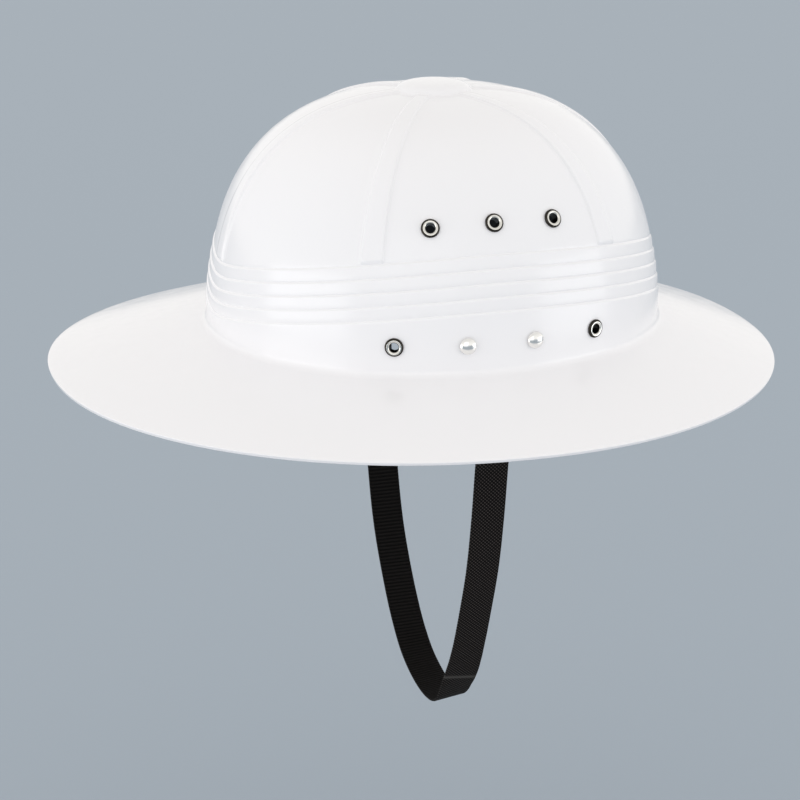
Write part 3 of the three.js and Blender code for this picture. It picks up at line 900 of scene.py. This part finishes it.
def centripetal(p0, p1, p2, p3, t):
    """One span of the centripetal curve that the solid's route follows."""
    gaps = [max(np.linalg.norm(b - a) ** 0.5, 1e-9) for a, b in ((p0, p1), (p1, p2), (p2, p3))]
    tangents = []
    for a, b, c, g0, g1 in ((p0, p1, p2, gaps[0], gaps[1]), (p1, p2, p3, gaps[1], gaps[2])):
        tangents.append(((b - a) / g0 - (c - a) / (g0 + g1) + (c - b) / g1) * gaps[1])
    t2, t3 = t * t, t * t * t
    return (
        p1 * (2 * t3 - 3 * t2 + 1)
        + tangents[0] * (t3 - 2 * t2 + t)
        + p2 * (3 * t2 - 2 * t3)
        + tangents[1] * (t3 - t2)
    )


# Steps in each span of the strap's route.
CURVE_STEPS = 60


def strap_line(steps):
    """Even points along the strap with their twist, and the distance along it."""
    rows = strap_points()
    flat = np.vstack([2 * rows[0] - rows[1], rows, 2 * rows[-1] - rows[-2]])
    fine = []
    for i in range(len(rows) - 1):
        place = [flat[i + j, :2] for j in range(4)]
        for t in np.arange(CURVE_STEPS) / CURVE_STEPS:
            twist = lerp(rows[i, 2], rows[i + 1, 2], smooth(t))
            fine.append([*centripetal(*place, t), twist])
    fine.append(rows[-1])
    fine = np.array(fine)
    run = np.concatenate([[0], np.cumsum(np.linalg.norm(np.diff(fine[:, :2], axis=0), axis=1))])
    even = np.linspace(0, run[-1], steps)
    return np.stack([np.interp(even, run, fine[:, i]) for i in range(3)], axis=1), even


# The rolled rim of an eyelet from its foot over the crest into the hole: out is a share of the way
# from the hole to the rim, up of its height. The plate is bright only on the crest; the foot and the
# barrel get a dark copy of it, painted as shade and dark reflection.
ROLL_SECTION = [
    (1, 0),
    (1, 0.25),
    (0.96, 0.48),
    (0.86, 0.68),
    (0.74, 0.84),
    (0.6, 0.96),
    (0.46, 1),
    (0.32, 0.96),
    (0.19, 0.84),
    (0.08, 0.64),
    (0.02, 0.4),
    (0, 0.1),
]
LIT_CREST_FROM = 0.06
LIT_CREST_TO = 0.58

# The fold's place, as a share of the distance from the hat's middle to the strap's seat.
FOLD_ACROSS = 0.468


def crease_run(line, run):
    """Distance along the strap to its fold, on the left leg near the bottom."""
    past = line[:, 0] > FOLD_ACROSS * strap_seat(0)
    return run[np.argmax(past)]


# Rings along the strap, and mesh spans across each of its faces and round each edge.
STRAP_RINGS = 1100
FACE_SPANS = 20
EDGE_SPANS = 4

# The inner face's weave starts at this share of the strap's half thickness, and its edges are sharp
# above this many degrees.
INNER_FROM = 0.5
STRAP_SMOOTH_ANGLE = 60


def strap_section():
    """Corners round the strap's section: place across and through it as shares of its halves, with
    the loop's inner face at 1 and its outer face at -1."""
    edge = strap().thickness / strap().width
    turns = np.linspace(0, math.pi, EDGE_SPANS + 2)[1:-1]
    inner = [(w, 1.0) for w in np.linspace(-1 + edge, 1 - edge, FACE_SPANS + 1)]
    right = [(1 - edge + edge * math.sin(a), math.cos(a)) for a in turns]
    outer = [(w, -1.0) for w, _ in reversed(inner)]
    left = [(-w, t) for w, t in reversed(right)]
    return inner + right + outer + left


def strap_vertices(line, run, section):
    """The section carried along the strap's middle line and turned by its twist."""
    s = strap()
    along = np.gradient(line[:, :2], run, axis=0)
    along /= np.linalg.norm(along, axis=1, keepdims=True)
    tangent = np.stack([along[:, 0], 0 * run, along[:, 1]], axis=1)
    twist = np.radians(line[:, 2])[:, None]
    side = np.array([0.0, 1.0, 0.0])
    across = side * np.cos(twist) + np.cross(tangent, side) * np.sin(twist)
    face = np.cross(tangent, across)
    middle = np.stack([line[:, 0], 0 * run, line[:, 1]], axis=1)
    rib = s.relief * (0.5 - 0.5 * np.cos(2 * math.pi * run / s.rib_pitch))
    rows = []
    for w, t in section:
        sunk = rib if t > 0 else 0 * rib
        depth = t * s.thickness / 2 - sunk
        rows.append(middle + across * (w * s.width / 2) + face * depth[:, None])
    return np.stack(rows, axis=1).reshape(-1, 3)


# How far a hole's cutter reaches in and out, in walls, and how many sides it has.
CUTTER_REACH = 6
CUTTER_SIDES = 32

# The eyelet's inner ring as a share of its rim's radius, and the bevel on the ring.
TAIL_SHARE = 0.9
TAIL_BEVEL = 0.1 * MM

# The rivet's heads: rings round the dome, the upright share of its height, the small flat on its top
# and the bevel on the inner head.
DOME_RINGS = 14
DOME_UPRIGHT = 0.15
DOME_FLAT = 0.15 * MM
HEAD_BEVEL = 0.25 * MM


def cut_holes(shell, context):
    """Cuts the hole of every eyelet and rivet, and gives the shell's new mesh."""
    f = fasteners()
    reach = CUTTER_REACH * moulding().wall
    cutters = []
    for _, kind, place, out, _ in fastener_seats():
        bore = f.eyelet_hole + f.barrel_wall if kind == "eyelet" else f.shank_radius
        profile = [(bore + f.gap, -reach), (bore + f.gap, reach)]
        cutter = turned("cutter", profile, seat_matrix(place, out), CUTTER_SIDES, closed=False)
        outward(cutter.data)
        cutters.append(cutter)
    for cutter in cutters:
        cut = shell.modifiers.new("holes", "BOOLEAN")
        cut.operation = "DIFFERENCE"
        cut.solver = "MANIFOLD"
        cut.object = cutter
    evaluated = shell.evaluated_get(context.evaluated_depsgraph_get())
    mesh = bpy.data.meshes.new_from_object(evaluated)
    shell.modifiers.clear()
    shell.data = mesh
    for cutter in cutters:
        bpy.data.objects.remove(cutter)
    finish_mesh(mesh, SMOOTH_ANGLE)
    return mesh


class SUNHAT_OT_shell(bpy.types.Operator):
    """Builds the crown and brim as one fine moulding and cuts the fasteners' holes"""

    bl_idname = "sunhat.shell"
    bl_label = "Shell"

    def execute(self, context):
        s = moulding()
        rings = crown_rings() + brim_rings() + inner_rings()
        columns = len(rings[0])
        vertices = np.concatenate(rings)
        faces = grid_faces(len(rings), columns)
        poles = [(0, 0, s.crown_height + s.button_height), (0, 0, s.crown_height - s.wall)]
        top = len(vertices)
        last = (len(rings) - 1) * columns
        for i in range(columns):
            faces.append((top, i, (i + 1) % columns))
            faces.append((last + i, top + 1, last + (i + 1) % columns))
        shell = mesh_object("hat_shell", np.vstack([vertices, poles]), faces)
        outward(shell.data)
        mesh = cut_holes(shell, context)
        mesh.materials.clear()
        mesh.materials.append(moulded_polyethylene())
        mesh.materials.append(painted_inside_shade())
        # Faces inside the crown, above its mouth, get the dark colour painted as shade.
        for polygon in mesh.polygons:
            centre = polygon.center
            inside = polygon.normal.dot(Vector((centre.x, centre.y, centre.z + INSIDE_AIM))) < 0
            polygon.material_index = 1 if inside and centre.z > INSIDE_FROM else 0
        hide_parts("shell")
        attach(shell, BODY)
        return {"FINISHED"}


class SUNHAT_OT_eyelets(bpy.types.Operator):
    """Builds each vent eyelet with a rolled rim outside and a flattened ring inside"""

    bl_idname = "sunhat.eyelets"
    bl_label = "Eyelets"

    def execute(self, context):
        f, s = fasteners(), moulding()
        nickel = nickel_plate(
            "polished nickel plate", f.colour, least_rough=0.1, most_rough=0.2
        )
        skirt_shade = nickel_plate(
            "nickel plate painted dark as shade at its foot and barrel", f.skirt_shade_colour, least_rough=0.3, most_rough=0.45
        )
        barrel = f.eyelet_hole + f.barrel_wall
        tail = -s.wall - f.inner_gap
        for node, kind, place, out, proud in fastener_seats():
            if kind != "eyelet":
                continue
            seat = proud + f.gap
            wide = f.eyelet_radius - f.eyelet_hole
            roll = [
                (f.eyelet_hole + wide * share, seat + f.eyelet_roll * up) for share, up in ROLL_SECTION
            ]
            ring = f.eyelet_radius * TAIL_SHARE
            profile = [
                (f.eyelet_hole, tail - f.barrel_wall),
                (ring - TAIL_BEVEL, tail - f.barrel_wall),
                (ring, tail - f.barrel_wall / 2),
                (ring - TAIL_BEVEL, tail),
                (barrel, tail),
                (barrel, seat),
                *roll,
            ]
            eyelet = turned(f"{node}_turned", profile, seat_matrix(place, out))
            outward(eyelet.data)
            eyelet.data.materials.append(nickel)
            eyelet.data.materials.append(skirt_shade)
            inward = seat_matrix(place, out).inverted()
            # Faces off the crest get the dark copy of the plate, painted as shade and dark reflection
            # at the rim's foot and in its barrel.
            for polygon in eyelet.data.polygons:
                centre = inward @ polygon.center
                share = (centre.xy.length - f.eyelet_hole) / wide
                if not LIT_CREST_FROM < share < LIT_CREST_TO:
                    polygon.material_index = 1
            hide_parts(node)
            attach(eyelet, BODY)
        return {"FINISHED"}


class SUNHAT_OT_rivets(bpy.types.Operator):
    """Builds each domed rivet with its shank and inner head"""

    bl_idname = "sunhat.rivets"
    bl_label = "Rivets"

    def execute(self, context):
        f = fasteners()
        nickel = nickel_plate(
            "bright nickel plate on the rivets", f.rivet_colour, least_rough=0.12, most_rough=0.22
        )
        bar_top = strap_depth() + strap().thickness / 2 + f.gap
        tail = -bar_top - strap().bar_thickness - f.gap
        for node, kind, place, out, proud in fastener_seats():
            if kind != "rivet":
                continue
            seat = proud + f.gap
            dome = []
            for a in np.linspace(0, math.pi / 2, DOME_RINGS)[:-1]:
                rise = DOME_UPRIGHT + (1 - DOME_UPRIGHT) * math.sin(a)
                dome.append((f.rivet_radius * math.cos(a), seat + f.rivet_dome * rise))
            profile = [
                (DOME_FLAT, tail - f.tail_height),
                (f.tail_radius - HEAD_BEVEL, tail - f.tail_height),
                (f.tail_radius, tail - f.tail_height + HEAD_BEVEL),
                (f.tail_radius, tail),
                (f.shank_radius, tail),
                (f.shank_radius, seat),
                (f.rivet_radius, seat),
                *dome,
                (DOME_FLAT, seat + f.rivet_dome),
            ]
            rivet = turned(f"{node}_turned", profile, seat_matrix(place, out), closed=False)
            outward(rivet.data)
            rivet.data.materials.append(nickel)
            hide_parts(node)
            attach(rivet, BODY)
        return {"FINISHED"}


class SUNHAT_OT_anchors(bpy.types.Operator):
    """Gives the bars that clamp the strap's ends their finish"""

    bl_idname = "sunhat.anchors"
    bl_label = "Strap Anchors"

    def execute(self, context):
        plastic = bar_plastic()
        for side in ("left", "right"):
            bar = NODES[f"strap_anchor_{side}"]
            bar.data.materials.clear()
            bar.data.materials.append(plastic)
        return {"FINISHED"}


class SUNHAT_OT_strap(bpy.types.Operator):
    """Weaves the chin strap: cross ribs inside, staggered floats outside and rounded edges"""

    bl_idname = "sunhat.strap"
    bl_label = "Chin Strap"

    def execute(self, context):
        s = strap()
        line, run = strap_line(STRAP_RINGS)
        section = strap_section()
        vertices = strap_vertices(line, run, section)
        count = len(section)
        faces = grid_faces(STRAP_RINGS, count)
        sides = len(faces)
        faces += [tuple(range(count)), tuple(reversed(range(sides, sides + count)))]
        webbing = mesh_object("chin_strap_webbing", vertices, faces, STRAP_SMOOTH_ANGLE)
        outward(webbing.data)
        laid = webbing.data.uv_layers.new(name="weave")
        for loop in webbing.data.loops:
            row, place = divmod(loop.vertex_index, count)
            laid.data[loop.index].uv = (run[row], section[place][0] * s.width / 2)
        # The share of the fold's painted highlight at each ring, on the outer face only.
        crease = webbing.data.attributes.new("crease", "FLOAT", "POINT")
        fold_highlight_share = np.exp(-(((run - crease_run(line, run)) / s.crease_width) ** 2))
        outside = np.array([t < 0 for _, t in section])
        crease.data.foreach_set("value", (fold_highlight_share[:, None] * outside).ravel().astype(np.float32))
        webbing.data.materials.append(woven_polypropylene("woven webbing, outer face", outer=True))
        webbing.data.materials.append(woven_polypropylene("woven webbing, inner face", outer=False))
        for polygon in webbing.data.polygons[:sides]:
            place = polygon.index % count
            polygon.material_index = 1 if section[place][1] >= INNER_FROM else 0
        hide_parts("chin_strap")
        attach(webbing, BODY)
        return {"FINISHED"}


# The camera's lens in millimetres, and how far to the right and up of the crown's mouth it aims, in
# metres. The floor reaches this many metres each way.
LENS = 122.85
AIM_RIGHT = -0.01514
AIM_UP = -0.04176
FLOOR_REACH = 30

# The room's light: its colour and its brightness at walls and ceiling, which meet between two
# heights. A height of 0 is the horizon and 1 is straight overhead.
ROOM_COLOUR = "#FFFEFC"
WALL_LIGHT = 1.09
CEILING_LIGHT = 0.85
WALL_TOP = 0.1
CEILING_FROM = 0.8

# Each softbox's place in metres from the hat, towards the camera, to its right and up, then its width
# and height in metres and its power in watts.
SOFTBOXES = [
    ("softbox_front", (2.2, 0, 0.5), (1.6, 1.6), 3.0),
    ("softbox_left", (0.72, -1.14, -0.1), (1.3, 0.48), 3.6),
    ("softbox_right", (0.44, 1.28, -0.1), (0.9, 0.48), 2.5),
]


def add_camera(back, right, distance):
    """The camera, given the directions from the hat back to it and to the picture's right."""
    data = bpy.data.cameras.new("camera")
    data.lens = LENS
    camera = add_object("camera", data)
    camera.location = back * distance
    aim = right * AIM_RIGHT + back.cross(right) * AIM_UP
    camera.rotation_euler = (camera.location - aim).to_track_quat("Z", "Y").to_euler()
    return camera


def pale_room(world_strength):
    """A world whose walls are lit and whose ceiling is dimmer."""
    world = bpy.data.worlds.new("pale room")
    world.use_nodes = True
    tree = world.node_tree
    ground = tree.nodes["Background"]
    way = add_node(tree, "ShaderNodeTexCoord").outputs["Generated"]
    height = add_node(tree, "ShaderNodeSeparateXYZ", Vector=way).outputs["Z"]
    rise = add_node(
        tree,
        "ShaderNodeMapRange",
        _0=height,
        _1=WALL_TOP,
        _2=CEILING_FROM,
        _3=WALL_LIGHT,
        _4=CEILING_LIGHT,
    ).outputs["Result"]
    strength = add_node(tree, "ShaderNodeMath", {"operation": "MULTIPLY"}, _0=rise, _1=world_strength)
    ground.inputs["Color"].default_value = linear(ROOM_COLOUR)
    tree.links.new(strength.outputs["Value"], ground.inputs["Strength"])
    return world


class SUNHAT_OT_stage(bpy.types.Operator):
    """Sets the camera, the soft light and the floor"""

    bl_idname = "sunhat.stage"
    bl_label = "Stage"

    def execute(self, context):
        s = context.scene.sun_hat_stage
        a, e = s.azimuth, s.elevation
        back = Vector((math.sin(a) * math.cos(e), -math.cos(a) * math.cos(e), math.sin(e)))
        right = Vector((math.cos(a), math.sin(a), 0))
        context.scene.camera = add_camera(back, right, s.distance)
        context.scene.world = pale_room(s.world_strength)
        corners = [(-1, -1), (1, -1), (1, 1), (-1, 1)]
        corners = [(x * FLOOR_REACH, y * FLOOR_REACH, s.floor_height) for x, y in corners]
        floor = mesh_object("floor", corners, [(0, 1, 2, 3)])
        floor.data.materials.append(matt_paper())
        # The softboxes leave the floor out, so that the edge of their light doesn't show on it.
        unlit = bpy.data.collections.new("floor, lit by the room alone")
        unlit.objects.link(floor)
        unlit.collection_objects[0].light_linking.link_state = "EXCLUDE"
        level = Vector((math.sin(a), -math.cos(a), 0))
        for name, (near, beside, up), (wide, high), power in SOFTBOXES:
            light = bpy.data.lights.new(name, "AREA")
            light.shape = "RECTANGLE"
            light.size = wide
            light.size_y = high
            light.energy = power
            lamp = add_object(name, light)
            lamp.location = level * near + right * beside + Vector((0, 0, up))
            lamp.rotation_euler = lamp.location.to_track_quat("Z", "Y").to_euler()
            lamp.light_linking.receiver_collection = unlit
        context.scene.view_settings.view_transform = "Standard"
        return {"FINISHED"}


class SUNHAT_PT_panel(bpy.types.Panel):
    """Lists the hat's sizes and the steps that build it"""

    bl_label = "Sun Hat"
    bl_idname = "SUNHAT_PT_panel"
    bl_space_type = "VIEW_3D"
    bl_region_type = "UI"
    bl_category = "Sun Hat"

    def draw(self, context):
        for group, operators in STEPS:
            box = self.layout.box()
            values = getattr(context.scene, group)
            for name in type(values).__annotations__:
                box.prop(values, name)
            for operator in operators:
                box.operator(operator.bl_idname)


GROUPS = {
    "sun_hat_stage": SunHatStage,
    "sun_hat_shell": SunHatShell,
    "sun_hat_fasteners": SunHatFasteners,
    "sun_hat_strap": SunHatStrap,
}
STEPS = [
    ("sun_hat_stage", [SUNHAT_OT_stage]),
    ("sun_hat_shell", [SUNHAT_OT_shell]),
    ("sun_hat_fasteners", [SUNHAT_OT_eyelets, SUNHAT_OT_rivets, SUNHAT_OT_anchors]),
    ("sun_hat_strap", [SUNHAT_OT_strap]),
]
CLASSES = [
    *GROUPS.values(),
    SUNHAT_OT_stage,
    SUNHAT_OT_shell,
    SUNHAT_OT_eyelets,
    SUNHAT_OT_rivets,
    SUNHAT_OT_anchors,
    SUNHAT_OT_strap,
    SUNHAT_PT_panel,
]


def register():
    """Makes the classes known and hangs each group of sizes on the scene."""
    for made in CLASSES:
        bpy.utils.register_class(made)
    for name, group in GROUPS.items():
        setattr(bpy.types.Scene, name, PointerProperty(type=group))


def unregister():
    """Takes the groups and the classes away again."""
    for name in GROUPS:
        delattr(bpy.types.Scene, name)
    for made in reversed(CLASSES):
        bpy.utils.unregister_class(made)


def main():
    """Builds the stage and the hat."""
    register()
    bpy.ops.sunhat.stage()
    bpy.ops.sunhat.shell()
    bpy.ops.sunhat.eyelets()
    bpy.ops.sunhat.rivets()
    bpy.ops.sunhat.anchors()
    bpy.ops.sunhat.strap()


if __name__ == "__main__":
    main()
